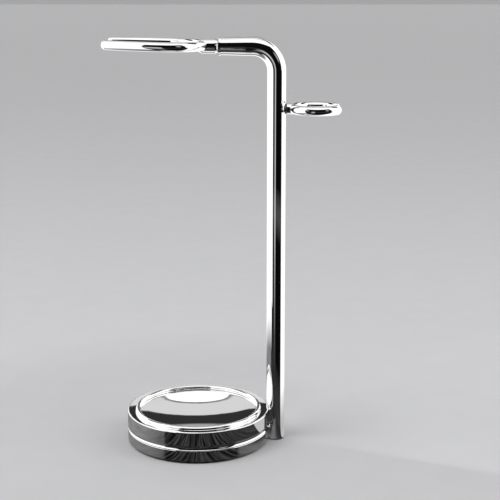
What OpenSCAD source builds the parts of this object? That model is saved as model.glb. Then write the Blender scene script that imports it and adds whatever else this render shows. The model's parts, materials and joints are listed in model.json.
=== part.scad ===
/* [Base] */
// Diameter of the round weighted base
base_d = 60; // [54:0.5:70]
// Height of the base's flat top rim above the surface it stands on
base_h = 13.5; // [12.5:0.1:16]
// Thickness of the anti-slip pad under the base
pad_t = 0.7; // [0.5:0.1:1]
// Height of the top edge of the lower disc
lower_top = 5.6; // [5.2:0.1:6]
// Height of the top edge of the trim ring
ring_top = 7.9; // [7.6:0.1:8.5]
// Radius on the outer edges of the discs
edge_r = 0.5; // [0.2:0.1:0.8]
// Depth of the hollow that runs round the trim ring
cove_depth = 0.4; // [0.2:0.1:0.6]
// Diameter of the bead around the dish, at its crest
bead_d = 51.2; // [46:0.2:54]
// Radius of the bead's round section
bead_r = 1.05; // [0.8:0.05:1.3]
// Depth of the concave drip dish below the rim
dish_depth = 2.2; // [1.6:0.1:2.4]
// Drop from the rim to the edge of the dish, inside the bead
dish_edge_drop = 0.7; // [0.5:0.1:0.9]
// Fall of the gutter between the rim and the bead
gutter_fall = 0.55; // [0.2:0.05:0.6]

/* [Post and arm] */
// Diameter of the bent tube
tube_d = 7.6; // [7:0.1:9]
// Wall thickness of the tube
tube_wall = 1.0; // [0.8:0.1:1.2]
// Distance from the base's centre to the upright's centre
post_x = 32.8; // [32.5:0.1:33.5]
// Height of the arm's centre line
arm_z = 165.8; // [140:0.1:190]
// Bend radius of the tube's centre line
bend_r = 9.8; // [8:0.1:12]
// Where the arm ends, measured from the base's centre
arm_end_x = 10.4; // [8:0.1:14]
// Diameter of the tube at its swaged end
swaged_d = 7.0; // [6.8:0.1:7.4]

/* [Brush fork] */
// Centre of the fork's round seat, measured from the base's centre
fork_x = -12; // [-16:0.1:-11.5]
// Width of the fork's seat
fork_seat = 27; // [24:0.1:27.6]
// Diameter of the fork's round stock
fork_rod = 3.8; // [3.5:0.1:5]
// Where the fork's tips end
fork_tip_x = -36; // [-40:0.1:-33]
// Radius to which the prongs curve inwards
prong_r = 70; // [60:5:200]
// Rise of the prongs above the arm's axis, in degrees
fork_rise = 1.5; // [0:0.1:3]
// Diameter of the fork's neck
neck_d = 5.8; // [5.2:0.1:6.4]

/* [Razor ring] */
// Centre of the razor ring, measured from the base's centre
razor_x = 49.0; // [48:0.1:50]
// Height of the razor ring's centre plane
razor_z = 140.8; // [110:0.1:150]
// Diameter of the hole in the razor ring
razor_hole = 15; // [13.6:0.1:15.4]
// Diameter of the razor ring's round stock
razor_rod = 3.8; // [3.5:0.1:4.2]
// Width of the mouth that the razor's neck passes through
razor_mouth = 6.6; // [6:0.1:9]

/* [Hidden] */
$fn = 96;
eps = 0.01;
fit_gap = 0.05;
base_r = base_d / 2;
tube_r = tube_d / 2;
bore_r = tube_r - tube_wall;
insert_r = bore_r - fit_gap;
groove_r = tube_r + fit_gap;
// The lower disc carries a spigot that the trim ring and the cover fit over
spigot_r = base_r - 3;
spigot_in_r = spigot_r - 2.5;
spigot_top = ring_top + 1.7;
floor_z = pad_t + 1.7;
ceiling_z = spigot_top + 0.2;
cover_bore_r = spigot_r + fit_gap;
bead_sink = 0.1;
bead_x = bead_d / 2;
rim_x = base_r - edge_r;
dish_edge_r = bead_x - bead_r;
dish_sag = dish_depth - dish_edge_drop;
dish_ball_r = (dish_edge_r * dish_edge_r + dish_sag * dish_sag) / (2 * dish_sag);
cove_half_h = (ring_top - lower_top) / 2 - 0.15;
cove_r = (cove_half_h * cove_half_h + cove_depth * cove_depth) / (2 * cove_depth);
ballast_r = spigot_in_r - 0.5;
ballast_top = ceiling_z - 0.8;
// Three screws hold the cover down from below
base_screw_count = 3;
base_screw_pcd_r = 15;
base_screw_turn = 60;
m3_r = 1.5;
m3_shank_r = 1.45;
m3_clear_r = 1.6;
m3_head_r = 2.8;
boss_r = 3;
// One screw draws the post sideways into its groove
clamp_z = (lower_top + ring_top) / 2;
clamp_seat_x = spigot_in_r + 0.1;
clamp_washer_t = 0.5;
clamp_washer_r = 3;
clamp_head_t = 1.8;
clamp_head_r = 2.75;
clamp_end_x = post_x + 1.8;
anchor_h = 6.4;
foot_t = 0.5;
foot_stem_top = clamp_z - anchor_h / 2 - 0.2;
// Tube outline
taper_x = post_x - 12.4;
bend_x = post_x - bend_r;
bend_z = arm_z - bend_r;
collar_t = 0.8;
collar_r = tube_r - 0.05;
bush_len = 7.6;
washer_t = 0.3;
// Fork
m4_r = 2;
m4_shank_r = 1.95;
tip_swell = 0.02;
fork_rod_r = fork_rod / 2;
fork_r = fork_seat / 2 + fork_rod_r;
neck_r = neck_d / 2;
neck_end_x = arm_end_x - collar_t - washer_t - 2 * fit_gap;
neck_tip_r = neck_r - 0.35;
neck_root_x = fork_x + fork_r;
prong_turn = asin((fork_x - fork_tip_x - fork_rod_r) / prong_r);
stud_root_x = neck_root_x + 1;
stud_tip_x = arm_end_x + 6.2;
// Razor ring
razor_rod_r = razor_rod / 2;
razor_r = razor_hole / 2 + razor_rod_r;
razor_half_gap = asin((razor_mouth / 2 + razor_rod_r) / razor_r);
razor_seat_x = post_x + tube_r + washer_t + 2 * fit_gap;
razor_boss_r = 2.2;
razor_stud_root_x = razor_seat_x + 3;
razor_stud_tip_x = post_x - 2;
barrel_h = 7;

// Straight round bar along X from x0 to x1, tapering from r0 to r1
module bar_x(x0, x1, r0, r1) {
    translate([x0, 0, 0]) rotate([0, 90, 0]) cylinder(h = x1 - x0, r1 = r0, r2 = r1);
}

// Half-section of a disc from z0 to z1, its outer edge rounded at the top, and at the bottom too if round_low
module disc_section(r, z0, z1, round_low) {
    low = round_low ? z0 + edge_r : z0;
    translate([0, z0]) square([r - edge_r, z1 - z0]);
    translate([r - edge_r - eps, low]) square([edge_r + eps, z1 - edge_r - low]);
    translate([r - edge_r, z1 - edge_r]) circle(r = edge_r);
    if (round_low) translate([r - edge_r, z0 + edge_r]) circle(r = edge_r);
}

// Half ball of radius r on the plane z = 0
module dome(r) {
    rotate_extrude() intersection() {
        circle(r = r);
        square(r);
    }
}

// The groove down the base's side that the post stands in
module post_groove() {
    translate([post_x, 0, -1]) cylinder(h = base_h + 2, r = groove_r);
}

module at_base_screws() {
    for (i = [0 : base_screw_count - 1]) {
        a = base_screw_turn + i * 360 / base_screw_count;
        translate([base_screw_pcd_r * cos(a), base_screw_pcd_r * sin(a), 0]) children();
    }
}

module clamp_hole(r, x0, x1) {
    translate([0, 0, clamp_z]) bar_x(x0, x1, r, r);
}

module base_cover() {
    color("gainsboro") difference() {
        union() {
            rotate_extrude() {
                difference() {
                    disc_section(base_r, ring_top, base_h, false);
                    intersection() {
                        translate([0, base_h - dish_depth + dish_ball_r]) circle(r = dish_ball_r, $fn = 1440);
                        square([bead_x, base_h + 1]);
                    }
                    polygon([[bead_x, base_h - gutter_fall], [rim_x, base_h], [bead_x, base_h]]);
                    translate([-1, ring_top - 1]) square([cover_bore_r + 1, ceiling_z - ring_top + 1]);
                }
                translate([bead_x, base_h - bead_sink]) circle(r = bead_r);
            }
            at_base_screws() translate([0, 0, floor_z]) cylinder(h = ceiling_z - floor_z + 0.2, r = boss_r);
        }
        at_base_screws() translate([0, 0, floor_z - 1]) cylinder(h = ceiling_z - floor_z, r = m3_r);
        clamp_hole(m3_clear_r, spigot_r - 1, post_x);
        post_groove();
    }
}

module trim_ring() {
    color("white") difference() {
        rotate_extrude() difference() {
            translate([cover_bore_r, lower_top]) square([base_r - cover_bore_r, ring_top - lower_top]);
            translate([base_r - cove_depth + cove_r, clamp_z]) circle(r = cove_r);
        }
        post_groove();
        clamp_hole(m3_clear_r, spigot_r - 1, post_x);
    }
}

module base_body() {
    color("silver") difference() {
        union() {
            rotate_extrude() disc_section(base_r, pad_t, lower_top, true);
            translate([0, 0, pad_t + 1]) cylinder(h = spigot_top - pad_t - 1, r = spigot_r);
        }
        translate([0, 0, floor_z]) cylinder(h = spigot_top, r = spigot_in_r);
        at_base_screws() {
            translate([0, 0, pad_t - eps]) cylinder(h = floor_z - pad_t + 2 * eps, r1 = m3_head_r, r2 = m3_r);
            translate([0, 0, pad_t]) cylinder(h = floor_z, r = m3_r);
        }
        clamp_hole(m3_clear_r, spigot_in_r - 1, post_x);
        clamp_hole(clamp_washer_r + 0.2, spigot_in_r - 4, clamp_seat_x);
        post_groove();
    }
}

module ballast_weight() {
    pocket_x = clamp_seat_x - clamp_washer_t - clamp_head_t - 0.8;
    color("dimgray") difference() {
        translate([0, 0, floor_z]) cylinder(h = ballast_top - floor_z, r = ballast_r);
        at_base_screws() translate([0, 0, floor_z - 1]) cylinder(h = base_h, r = boss_r + 0.2);
        translate([pocket_x, -4.5, floor_z - 1]) cube([10, 9, base_h]);
    }
}

module base_screws() {
    color("darkgray") at_base_screws() {
        translate([0, 0, pad_t]) cylinder(h = floor_z - pad_t, r1 = m3_head_r - fit_gap, r2 = m3_shank_r);
        translate([0, 0, floor_z]) cylinder(h = 5.5, r = m3_shank_r);
    }
}

module anti_slip_pad() {
    color("black") cylinder(h = pad_t, r = base_r - 1.2);
}

// The tube's outline as a solid of radius r, ending at the swaged end with radius end_r
module tube_run(r, end_r, z0, end_x) {
    translate([post_x, 0, z0]) cylinder(h = bend_z - z0, r = r);
    translate([bend_x, 0, bend_z]) rotate([90, 0, 0]) bent_bar(bend_r, r, 0, 90);
    translate([0, 0, arm_z]) bar_x(taper_x, bend_x, r, r);
    translate([0, 0, arm_z]) bar_x(end_x, taper_x, end_r, r);
}

module post_tube() {
    color("gainsboro") difference() {
        tube_run(tube_r, swaged_d / 2, foot_t, arm_end_x);
        tube_run(bore_r, bore_r, foot_t - 1, arm_end_x - 1);
        clamp_hole(m3_clear_r, post_x - tube_r - 1, post_x);
        translate([0, 0, razor_z]) bar_x(post_x, post_x + tube_r + 1, m3_clear_r, m3_clear_r);
    }
}

module post_foot_plug() {
    color("black") translate([post_x, 0, 0]) {
        cylinder(h = foot_t, r = tube_r - 0.1);
        translate([0, 0, foot_t]) cylinder(h = foot_stem_top - foot_t, r = insert_r);
    }
}

// Round slug inside the tube with a threaded cross hole for the clamp screw
module post_anchor() {
    color("goldenrod") difference() {
        translate([post_x, 0, clamp_z - anchor_h / 2]) cylinder(h = anchor_h, r = insert_r);
        clamp_hole(m3_r, post_x - tube_r, post_x + tube_r);
    }
}

module clamp_screw() {
    head_x = clamp_seat_x - clamp_washer_t;
    color("darkgray") translate([0, 0, clamp_z]) difference() {
        union() {
            bar_x(head_x - clamp_head_t, head_x, clamp_head_r, clamp_head_r);
            bar_x(head_x, clamp_end_x, m3_shank_r, m3_shank_r);
        }
        translate([head_x - clamp_head_t - 1, 0, 0]) rotate([0, 90, 0]) cylinder(h = 2, r = 1.3, $fn = 6);
    }
}

module clamp_washer() {
    color("silver") translate([0, 0, clamp_z]) difference() {
        bar_x(clamp_seat_x - clamp_washer_t, clamp_seat_x, clamp_washer_r, clamp_washer_r);
        bar_x(clamp_seat_x - 2, clamp_seat_x + 2, m3_clear_r, m3_clear_r);
    }
}

// Threaded bush pressed into the arm; its collar closes the tube's end
module arm_end_bush() {
    color("gainsboro") translate([0, 0, arm_z]) difference() {
        union() {
            bar_x(arm_end_x - collar_t, arm_end_x, collar_r, collar_r);
            bar_x(arm_end_x, arm_end_x + bush_len, insert_r, insert_r);
        }
        bar_x(arm_end_x - 2, arm_end_x + bush_len + 1, m4_r, m4_r);
    }
}

// Round stock of radius rod_r bent round the origin at radius r, from angle a over the given turn
module bent_bar(r, rod_r, a, turn) {
    rotate([0, 0, a]) rotate_extrude(angle = turn) translate([r, 0]) circle(r = rod_r);
}

// Rounded end of that bar at angle a, a hair wider than the bar
module bar_tip(r, rod_r, a) {
    rotate([0, 0, a]) translate([r, 0, 0]) sphere(r = rod_r + tip_swell);
}

// The prong on the far side, in the plane of the fork's seat
module prong() {
    translate([0, fork_r - prong_r, 0]) {
        bent_bar(prong_r, fork_rod_r, 90, prong_turn);
        bar_tip(prong_r, fork_rod_r, 90 + prong_turn);
    }
}

module fork_loop() {
    bent_bar(fork_r, fork_rod_r, -90, 180);
    prong();
    mirror([0, 1, 0]) prong();
}

module brush_fork() {
    color("gainsboro") translate([0, 0, arm_z]) difference() {
        union() {
            translate([arm_end_x, 0, 0]) rotate([0, fork_rise, 0])
                translate([fork_x - arm_end_x, 0, 0]) fork_loop();
            bar_x(neck_root_x, neck_end_x - 1, neck_r, neck_r);
            bar_x(neck_end_x - 1, neck_end_x, neck_r, neck_tip_r);
            translate([neck_root_x, 0, 0]) rotate([0, -90, 0]) dome(neck_r);
        }
        bar_x(stud_root_x - fit_gap, neck_end_x + 1, m4_r, m4_r);
    }
}

module fork_stud() {
    color("darkgray") translate([0, 0, arm_z]) bar_x(stud_root_x, stud_tip_x, m4_shank_r, m4_shank_r);
}

module fork_washer() {
    x1 = arm_end_x - collar_t;
    color("ivory") translate([0, 0, arm_z]) difference() {
        bar_x(x1 - washer_t, x1, neck_tip_r, neck_tip_r);
        bar_x(x1 - 1, x1 + 1, m4_r, m4_r);
    }
}

module razor_ring() {
    color("gainsboro") translate([0, 0, razor_z]) difference() {
        union() {
            translate([razor_x, 0, 0]) {
                bent_bar(razor_r, razor_rod_r, razor_half_gap, 360 - 2 * razor_half_gap);
                bar_tip(razor_r, razor_rod_r, razor_half_gap);
                bar_tip(razor_r, razor_rod_r, -razor_half_gap);
            }
            bar_x(razor_seat_x, razor_x - razor_r, razor_boss_r, razor_boss_r);
            translate([razor_x - razor_r, 0, 0]) rotate([0, 90, 0]) dome(razor_boss_r);
        }
        bar_x(razor_seat_x - 1, razor_stud_root_x + fit_gap, m3_r, m3_r);
    }
}

module razor_stud() {
    color("darkgray") translate([0, 0, razor_z])
        bar_x(razor_stud_tip_x, razor_stud_root_x, m3_shank_r, m3_shank_r);
}

// Round slug inside the tube with a threaded cross hole for the razor ring's stud
module razor_barrel_nut() {
    color("goldenrod") difference() {
        translate([post_x, 0, razor_z - barrel_h / 2]) cylinder(h = barrel_h, r = insert_r);
        translate([0, 0, razor_z]) bar_x(post_x - tube_r, post_x + tube_r, m3_r, m3_r);
    }
}

module razor_washer() {
    x0 = post_x + tube_r + fit_gap;
    color("ivory") translate([0, 0, razor_z]) difference() {
        bar_x(x0, x0 + washer_t, razor_boss_r - 0.1, razor_boss_r - 0.1);
        bar_x(x0 - 1, x0 + 1, m3_r, m3_r);
    }
}

base_cover();
trim_ring();
base_body();
ballast_weight();
base_screws();
anti_slip_pad();
post_tube();
post_foot_plug();
post_anchor();
clamp_screw();
clamp_washer();
arm_end_bush();
brush_fork();
fork_stud();
fork_washer();
razor_ring();
razor_stud();
razor_barrel_nut();
razor_washer();
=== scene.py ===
import json
import math

import bpy
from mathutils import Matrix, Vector

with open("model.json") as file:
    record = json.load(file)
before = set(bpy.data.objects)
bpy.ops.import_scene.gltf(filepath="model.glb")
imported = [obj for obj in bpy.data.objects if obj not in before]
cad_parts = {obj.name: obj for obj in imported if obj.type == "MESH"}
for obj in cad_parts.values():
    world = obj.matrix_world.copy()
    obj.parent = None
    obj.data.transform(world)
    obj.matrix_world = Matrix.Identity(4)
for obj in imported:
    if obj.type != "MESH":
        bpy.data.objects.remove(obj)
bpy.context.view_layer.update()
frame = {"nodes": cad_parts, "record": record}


# ---------------------------------------------------------------- node helpers

def add(tree, kind, inputs=None, **settings):
    """Adds a node, sets its properties, and fills its sockets with values or links."""
    node = tree.nodes.new(kind)
    for key, value in settings.items():
        setattr(node, key, value)
    for key, value in (inputs or {}).items():
        if isinstance(value, bpy.types.NodeSocket):
            tree.links.new(value, node.inputs[key])
        else:
            node.inputs[key].default_value = value
    return node


def maths(tree, operation, a, b=0.0):
    return add(tree, "ShaderNodeMath", {0: a, 1: b}, operation=operation).outputs[0]


def plus(tree, a, b):
    return maths(tree, "ADD", a, b)


def minus(tree, a, b):
    return maths(tree, "SUBTRACT", a, b)


def times(tree, a, b):
    return maths(tree, "MULTIPLY", a, b)


def larger(tree, a, b):
    return maths(tree, "MAXIMUM", a, b)


def size_of(tree, a):
    return maths(tree, "ABSOLUTE", a)


def length_of(tree, a, b):
    return maths(tree, "SQRT", plus(tree, times(tree, a, a), times(tree, b, b)))


def span(tree, value, low, high, to_low, to_high):
    """Maps low..high to to_low..to_high, held level outside that."""
    inputs = {0: value, 1: low, 2: high, 3: to_low, 4: to_high}
    return add(tree, "ShaderNodeMapRange", inputs).outputs[0]


def rising(tree, value, fade):
    return span(tree, value, fade[0], fade[1], 0.0, 1.0)


def falling(tree, value, fade):
    return span(tree, value, fade[0], fade[1], 1.0, 0.0)


def between(tree, value, fade_in, fade_out):
    return times(tree, rising(tree, value, fade_in), falling(tree, value, fade_out))


def blend_of(tree, factor, a, b):
    return add(tree, "ShaderNodeMix", {0: factor, 2: a, 3: b}).outputs[0]


def colour_mix(tree, factor, a, b):
    return add(tree, "ShaderNodeMix", {0: factor, 6: a, 7: b}, data_type="RGBA").outputs[2]


def place(tree):
    return add(tree, "ShaderNodeTexCoord").outputs["Object"]


def stretched(tree, vector, scale):
    return add(tree, "ShaderNodeMapping", {"Vector": vector, "Scale": scale}).outputs[0]


def noise(tree, vector, scale, detail=3.0, roughness=0.5):
    inputs = {"Vector": vector, "Scale": scale, "Detail": detail, "Roughness": roughness}
    return add(tree, "ShaderNodeTexNoise", inputs).outputs[0]


def oval(tree, x, y, shape):
    """Distance from the centre of an oval, 1 on its edge. shape is its centre and its half-size."""
    centre, half = shape
    across = maths(tree, "DIVIDE", minus(tree, x, centre[0]), half[0])
    up = maths(tree, "DIVIDE", minus(tree, y, centre[1]), half[1])
    return length_of(tree, across, up)


# ---------------------------------------------------------------- materials

def grey(level, blue=0.0):
    return (level, level, level + blue, 1)


def new_material(name):
    """A new material with its node tree and Principled shader."""
    material = bpy.data.materials.new(name)
    material.use_nodes = True
    tree = material.node_tree
    shader = next(n for n in tree.nodes if n.type == "BSDF_PRINCIPLED")
    return material, tree, shader


def finish(tree, shader, colour, roughness, metallic, height, strength, depth):
    """Sets the shader's colour, roughness and metallic, and a bump of the given depth in metres."""
    tree.links.new(colour, shader.inputs["Base Color"])
    tree.links.new(roughness, shader.inputs["Roughness"])
    shader.inputs["Metallic"].default_value = metallic
    inputs = {"Strength": strength, "Distance": depth, "Height": height}
    tree.links.new(add(tree, "ShaderNodeBump", inputs).outputs[0], shader.inputs["Normal"])


def chrome(name, wear, lines):
    """Bright chrome plate: faint polishing marks, smudges that dull it, and a plating ripple.
    lines stretches the polishing marks along an axis, as (x, y, z) scales."""
    material, tree, shader = new_material(name)
    at = place(tree)
    smudge = span(tree, noise(tree, at, 90.0, 4.0, 0.55), 0.52, 0.74, 0.0, 0.55)
    marks = noise(tree, stretched(tree, at, lines), 900.0, 2.0, 0.6)
    colour = colour_mix(tree, smudge, grey(0.93), grey(0.80))
    film = times(tree, smudge, wear)
    scratched = span(tree, marks, 0.55, 0.8, 0.0, wear * 0.6)
    rough = plus(tree, plus(tree, film, scratched), 0.018)
    ripple = times(tree, noise(tree, at, 160.0, 2.0), 0.7)
    speck = times(tree, noise(tree, at, 2600.0, 1.0), 0.02)
    finish(tree, shader, colour, rough, 1.0, plus(tree, ripple, speck), 0.02, 0.0004)
    return material


def turned_metal(name, colour, dark, rough, lines):
    """Plain machined metal that stays inside the stand, with its tool marks."""
    material, tree, shader = new_material(name)
    at = place(tree)
    grain = noise(tree, stretched(tree, at, lines), 700.0, 4.0, 0.6)
    stain = span(tree, noise(tree, at, 140.0, 3.0), 0.3, 0.7, 0.5, 1.0)
    tone = times(tree, span(tree, grain, 0.3, 0.7, 0.0, 1.0), stain)
    mixed = colour_mix(tree, tone, dark + (1,), colour + (1,))
    roughness = span(tree, grain, 0.3, 0.7, rough + 0.12, rough)
    finish(tree, shader, mixed, roughness, 1.0, grain, 0.15, 0.0002)
    return material


def cast_iron(name):
    """Rough sand-cast iron with patches of rust."""
    material, tree, shader = new_material(name)
    at = place(tree)
    sand = noise(tree, at, 1400.0, 5.0, 0.7)
    rust = span(tree, noise(tree, at, 120.0, 4.0, 0.6), 0.5, 0.75, 0.0, 0.6)
    colour = colour_mix(tree, rust, (0.045, 0.045, 0.048, 1), (0.11, 0.055, 0.03, 1))
    roughness = span(tree, sand, 0.3, 0.7, 0.55, 0.8)
    finish(tree, shader, colour, roughness, 0.75, sand, 0.5, 0.0003)
    return material


def soft_polymer(name, dark, light, rough, grain_scale, depth):
    """Rubber, plastic or nylon: a fine moulded grain and a slightly uneven black."""
    material, tree, shader = new_material(name)
    at = place(tree)
    grain = noise(tree, at, grain_scale, 4.0, 0.6)
    colour = colour_mix(tree, noise(tree, at, 200.0, 2.0), dark, light)
    roughness = span(tree, grain, 0.3, 0.7, rough - 0.08, rough + 0.08)
    finish(tree, shader, colour, roughness, 0.0, grain, 0.35, depth)
    return material


# Scales that draw the polishing marks out round the base, along the post and along the arm
ROUND_Z = (1, 1, 12)
ALONG_Z = (6, 6, 0.3)
ALONG_X = (0.3, 6, 6)
TURNED_X = (1, 14, 14)
TURNED_Z = (1, 1, 16)

STEEL, STEEL_DARK = (0.62, 0.64, 0.67), (0.40, 0.42, 0.45)
BRASS, BRASS_DARK = (0.80, 0.58, 0.24), (0.55, 0.37, 0.14)

FINISHES = {
    "chrome_base": chrome("chrome_cover", 0.05, ROUND_Z),
    "chrome_trim": chrome("chrome_trim", 0.04, ROUND_Z),
    "chrome_base_lower": chrome("chrome_lower_disc", 0.06, ROUND_Z),
    "chrome_tube": chrome("chrome_tube", 0.04, ALONG_Z),
    "chrome_bush": chrome("chrome_bush", 0.05, ALONG_X),
    "chrome_fork": chrome("chrome_fork", 0.05, ALONG_X),
    "chrome_razor_ring": chrome("chrome_razor_ring", 0.05, ALONG_X),
    "zinc_steel": turned_metal("zinc_steel", STEEL, STEEL_DARK, 0.28, TURNED_X),
    "insert_brass": turned_metal("turned_brass", BRASS, BRASS_DARK, 0.25, TURNED_Z),
    "ballast_iron": cast_iron("cast_iron"),
    "pad_rubber": soft_polymer("black_foam_rubber", grey(0.012, 0.001), grey(0.03, 0.001),
                               0.85, 2500.0, 0.0003),
    "plug_plastic": soft_polymer("black_polythene", grey(0.015, 0.001), grey(0.03, 0.002),
                                 0.5, 1500.0, 0.0001),
    "washer_nylon": soft_polymer("black_nylon", grey(0.012, 0.001), grey(0.03, 0.002),
                                 0.4, 1800.0, 0.0001),
}

for part in frame["record"]["subparts"]:
    node, slot = frame["nodes"][part["node"]], part["material_slot"]
    node.data.materials.clear()
    node.data.materials.append(FINISHES[slot])


# ---------------------------------------------------------------- the room that the chrome mirrors

# Greys that the chrome mirrors
ROOM_BLACK = 0.004
BOARDS_BLACK = 0.003
ROOM_WHITE = 1.25
CARD_WHITE = 1.15

# Directions, in radians. side is measured from +Y and front_side from -Y, both towards +X. A pair is
# where a tone starts and stops changing; an oval is its centre and half-size, as (side, elevation).
DARK_WALL_TOP = 0.318
DARK_WALL_MIDDLE = -0.045
LAMP = ((-0.045, 0.517), (0.036, 0.056))
LAMP_EDGE = ((-0.045, 0.519), (0.0415, 0.076))
LOW_PATCH = ((-0.046, 0.187), (0.010, 0.030))
WINDOWS = ((0.74, 0.30), (0.17, 0.20))
BACK_WALL_WIDTH = (0.26, 0.32)
BACK_WALL_HEIGHT = (0.66, 0.72)
LEFT_PANEL = (-0.95, -0.90)
RIGHT_PANEL = (1.05, 1.10)
OVERHEAD = (0.80, 0.88)
OVERHEAD_LIFT = 0.12
CEILING_EDGE = (0.64, 0.70)

# On the floor, in metres: distances from the base's centre, and where the wedge's two edges start
NEAR_BASE = (0.10, 0.16)
LEFT_OF_POST = (0.030, 0.036)
POST_X = 0.0328
LEFT_EDGE_X, LEFT_EDGE_Y = -0.0132, -0.0269
RIGHT_EDGE_X, RIGHT_EDGE_Y = 0.0176, -0.0243
FLOOR_HALF = 20.0
MIRRORED_HALF = 6.0
MIRRORED_LIFT = 0.00002


def back_wall(tree, side, elevation):
    """Behind the stand: dark low down, pale grey above, and one bright lamp with a grey edge."""
    off_axis = minus(tree, side, DARK_WALL_MIDDLE)
    curve = maths(tree, "MINIMUM", times(tree, times(tree, off_axis, off_axis), 25.8), 0.12)
    height = minus(tree, elevation, plus(tree, curve, DARK_WALL_TOP))
    tone = span(tree, height, -0.004, 0.004, 0.030, 0.70)
    paler = span(tree, size_of(tree, off_axis), 0.05, 0.10, 0.0, 0.25)
    tone = plus(tree, tone, times(tree, paler, rising(tree, height, (0.0, 0.02))))
    patch = falling(tree, oval(tree, side, elevation, LOW_PATCH), (0.5, 1.1))
    tone = plus(tree, tone, times(tree, patch, 0.35))
    edge = falling(tree, oval(tree, side, elevation, LAMP_EDGE), (0.92, 1.0))
    lamp = falling(tree, oval(tree, side, elevation, LAMP), (0.96, 1.02))
    return blend_of(tree, lamp, blend_of(tree, edge, tone, 0.22), 1.3)


def mirrored_room(tree):
    """The strength of the room's light in every direction."""
    direction = add(tree, "ShaderNodeTexCoord").outputs["Generated"]
    x, y, z = add(tree, "ShaderNodeSeparateXYZ", {0: direction}).outputs
    elevation = maths(tree, "ARCSINE", z)
    side = maths(tree, "ARCTAN2", x, y)
    front_side = maths(tree, "ARCTAN2", x, times(tree, y, -1.0))
    aside = size_of(tree, side)
    # White panels stand left and right, with a white ceiling that starts higher up behind the stand
    lift = span(tree, aside, 1.0, 1.3, OVERHEAD_LIFT, 0.0)
    over = rising(tree, minus(tree, elevation, lift), OVERHEAD)
    sides = larger(tree, falling(tree, front_side, LEFT_PANEL), rising(tree, front_side, RIGHT_PANEL))
    ceiling = times(tree, rising(tree, elevation, CEILING_EDGE), falling(tree, aside, (1.0, 1.2)))
    white = larger(tree, times(tree, sides, minus(tree, 1.0, ceiling)), over)
    # In front it is black but for two soft windows, and overhead it is calmer behind
    window = oval(tree, size_of(tree, front_side), elevation, WINDOWS)
    panes = span(tree, window, 0.55, 1.0, 0.42, ROOM_BLACK)
    calm = times(tree, rising(tree, elevation, (0.98, 1.15)), falling(tree, aside, (1.2, 1.6)))
    calm = times(tree, calm, span(tree, elevation, 1.15, 1.5, 1.0, 0.55))
    room = blend_of(tree, white, panes, minus(tree, ROOM_WHITE, times(tree, calm, 0.55)))
    behind = times(tree, falling(tree, aside, BACK_WALL_WIDTH), falling(tree, elevation, BACK_WALL_HEIGHT))
    return blend_of(tree, behind, room, back_wall(tree, side, elevation))


def studio_world():
    """The chrome mirrors the room; the camera sees a plain pale backdrop."""
    world = bpy.data.worlds.new("studio")
    bpy.context.scene.world = world
    world.use_nodes = True
    tree = world.node_tree
    tree.nodes.clear()
    reflected = add(tree, "ShaderNodeBackground", {"Color": grey(1), "Strength": mirrored_room(tree)})
    backdrop = add(tree, "ShaderNodeBackground", {"Color": grey(0.60, 0.01), "Strength": 1.0})
    camera_ray = add(tree, "ShaderNodeLightPath").outputs["Is Camera Ray"]
    inputs = {0: camera_ray, 1: reflected.outputs[0], 2: backdrop.outputs[0]}
    chosen = add(tree, "ShaderNodeMixShader", inputs)
    add(tree, "ShaderNodeOutputWorld", {"Surface": chosen.outputs[0]})


def seen_in_base(tree, at, x, y, boards):
    """Seen in the base's sides: the dark boards inside a wedge, grey boards outside it."""
    left = minus(tree, times(tree, minus(tree, y, LEFT_EDGE_Y), 0.7965),
                 times(tree, minus(tree, x, LEFT_EDGE_X), 0.6046))
    right = plus(tree, times(tree, minus(tree, y, RIGHT_EDGE_Y), 0.925),
                 times(tree, minus(tree, x, RIGHT_EDGE_X), 0.379))
    wedge = larger(tree, left, right)
    side_grain = noise(tree, stretched(tree, at, (1, 0.3, 1)), 160.0, 3.0, 0.6)
    uneven = span(tree, side_grain, 0.3, 0.7, -0.04, 0.05)
    pale = plus(tree, uneven, span(tree, wedge, 0.0, 0.03, 0.10, 0.24))
    return blend_of(tree, rising(tree, wedge, (-0.0012, 0.0012)), boards, pale)


def seen_in_post(tree, x, y, reach, grain, boards):
    """Seen in the post: white on both sides of the dark front, with a grey streak."""
    around = maths(tree, "ARCTAN2", minus(tree, x, POST_X), times(tree, y, -1.0))
    streak = between(tree, around, (-0.42, -0.36), (-0.16, -0.13))
    streak = times(tree, streak, span(tree, reach, 0.15, 0.40, 0.06, 0.45))
    haze = between(tree, around, (-0.76, -0.40), (-0.12, -0.05))
    by_post = times(tree, span(tree, reach, 0.08, 0.12, 0.035, 0.0),
                    span(tree, grain, 0.35, 0.7, 0.4, 1.6))
    dark = plus(tree, plus(tree, boards, by_post), plus(tree, streak, times(tree, haze, 0.02)))
    sides = larger(tree, falling(tree, around, (-0.93, -0.89)), rising(tree, around, (1.12, 1.18)))
    return blend_of(tree, sides, dark, span(tree, reach, 0.06, 0.10, 0.55, CARD_WHITE))


def mirrored_floor_tone(tree):
    """Dark grained boards in front of the stand, white to its sides, grey close to the base."""
    at = place(tree)
    x, y = add(tree, "ShaderNodeSeparateXYZ", {0: at}).outputs[:2]
    reach = length_of(tree, x, y)
    near = times(tree, falling(tree, reach, NEAR_BASE), falling(tree, x, LEFT_OF_POST))
    grain = noise(tree, stretched(tree, at, (1, 0.06, 1)), 420.0, 4.0, 0.65)
    boards = blend_of(tree, near, BOARDS_BLACK, span(tree, grain, 0.42, 0.72, BOARDS_BLACK, 0.09))
    far_line = times(tree, span(tree, reach, 0.40, 0.48, 0.0, 0.06), falling(tree, reach, (0.52, 0.62)))
    boards = plus(tree, boards, far_line)
    in_base = seen_in_base(tree, at, x, y, boards)
    in_post = seen_in_post(tree, x, y, reach, grain, boards)
    return blend_of(tree, near, in_post, in_base)


# ---------------------------------------------------------------- stage, lights and camera

def hide_from(piece, *rays):
    for ray in rays:
        setattr(piece, "visible_" + ray, False)


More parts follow.
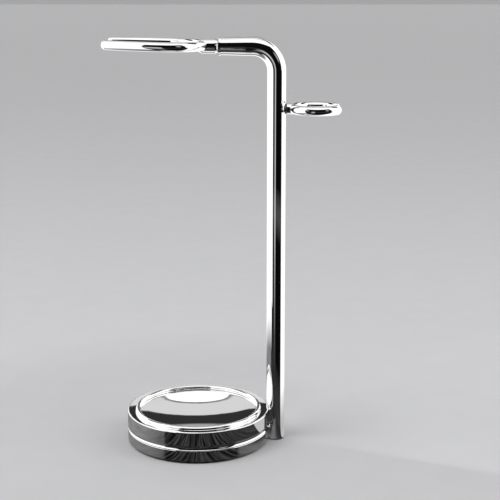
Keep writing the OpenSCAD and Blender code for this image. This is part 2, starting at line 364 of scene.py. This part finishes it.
def card(name, corners):
    """A flat stage piece between four corners, in metres."""
    mesh = bpy.data.meshes.new(name)
    mesh.from_pydata(corners, [], [(0, 1, 2, 3)])
    piece = bpy.data.objects.new(name, mesh)
    bpy.context.scene.collection.objects.link(piece)
    return piece


def floor_card(name, half, z):
    return card(name, [(-half, -half, z), (half, -half, z), (half, half, z), (-half, half, z)])


def glowing(piece, strength_of):
    """Gives a card that only reflections see a light whose strength is built by strength_of(tree)."""
    material = bpy.data.materials.new(piece.name)
    material.use_nodes = True
    tree = material.node_tree
    tree.nodes.clear()
    emission = add(tree, "ShaderNodeEmission", {"Color": grey(1), "Strength": strength_of(tree)})
    add(tree, "ShaderNodeOutputMaterial", {"Surface": emission.outputs[0]})
    piece.data.materials.append(material)
    hide_from(piece, "camera", "diffuse", "shadow", "transmission")


def pale_floor():
    """The plain floor that the camera sees, which the chrome doesn't."""
    floor = floor_card("studio_floor", FLOOR_HALF, 0.0)
    material, tree, shader = new_material("pale_floor")
    tone = noise(tree, place(tree), 60.0, 3.0)
    pale = colour_mix(tree, tone, grey(0.40, 0.01), grey(0.43, 0.01))
    tree.links.new(pale, shader.inputs["Base Color"])
    shader.inputs["Roughness"].default_value = 0.7
    floor.data.materials.append(material)
    hide_from(floor, "glossy")


def mirrored_floor():
    """What the chrome mirrors in place of the floor."""
    glowing(floor_card("mirrored_floor", MIRRORED_HALF, MIRRORED_LIFT), mirrored_floor_tone)


def fork_card():
    """A white panel in front of the fork and to its left, for its near prong."""
    left, right, y, low, high = -0.120, -0.0375, -0.075, 0.030, 0.260
    corners = [(left, y, low), (right, y, low), (right, y, high), (left, y, high)]
    glowing(card("fork_panel", corners), lambda tree: CARD_WHITE)


def softbox(name, location, size, power):
    """An area lamp aimed at a point 50 mm above the base's centre."""
    lamp = bpy.data.lights.new(name, "AREA")
    lamp.shape = "RECTANGLE"
    lamp.size, lamp.size_y = size
    lamp.energy = power
    piece = bpy.data.objects.new(name, lamp)
    bpy.context.scene.collection.objects.link(piece)
    piece.location = location
    aim = Vector((0, 0, 0.05)) - Vector(location)
    piece.rotation_euler = aim.to_track_quat("-Z", "Y").to_euler()
    hide_from(piece, "glossy", "camera")


def camera():
    lens = bpy.data.cameras.new("camera")
    lens.sensor_width = 36.0
    lens.lens = 88.56
    lens.shift_x = -0.0045
    piece = bpy.data.objects.new("camera", lens)
    bpy.context.scene.collection.objects.link(piece)
    piece.location = (0.02299, -0.4966, 0.1972)
    pitch_down = 13.03
    piece.rotation_euler = (math.radians(90 - pitch_down), 0, 0)
    bpy.context.scene.camera = piece


studio_world()
pale_floor()
mirrored_floor()
fork_card()
softbox("key", (-0.5, -0.3, 0.9), (0.6, 0.6), 6.0)
softbox("fill", (0.7, -0.2, 0.6), (0.5, 0.8), 3.0)
camera()
bpy.context.scene.view_settings.view_transform = "Standard"
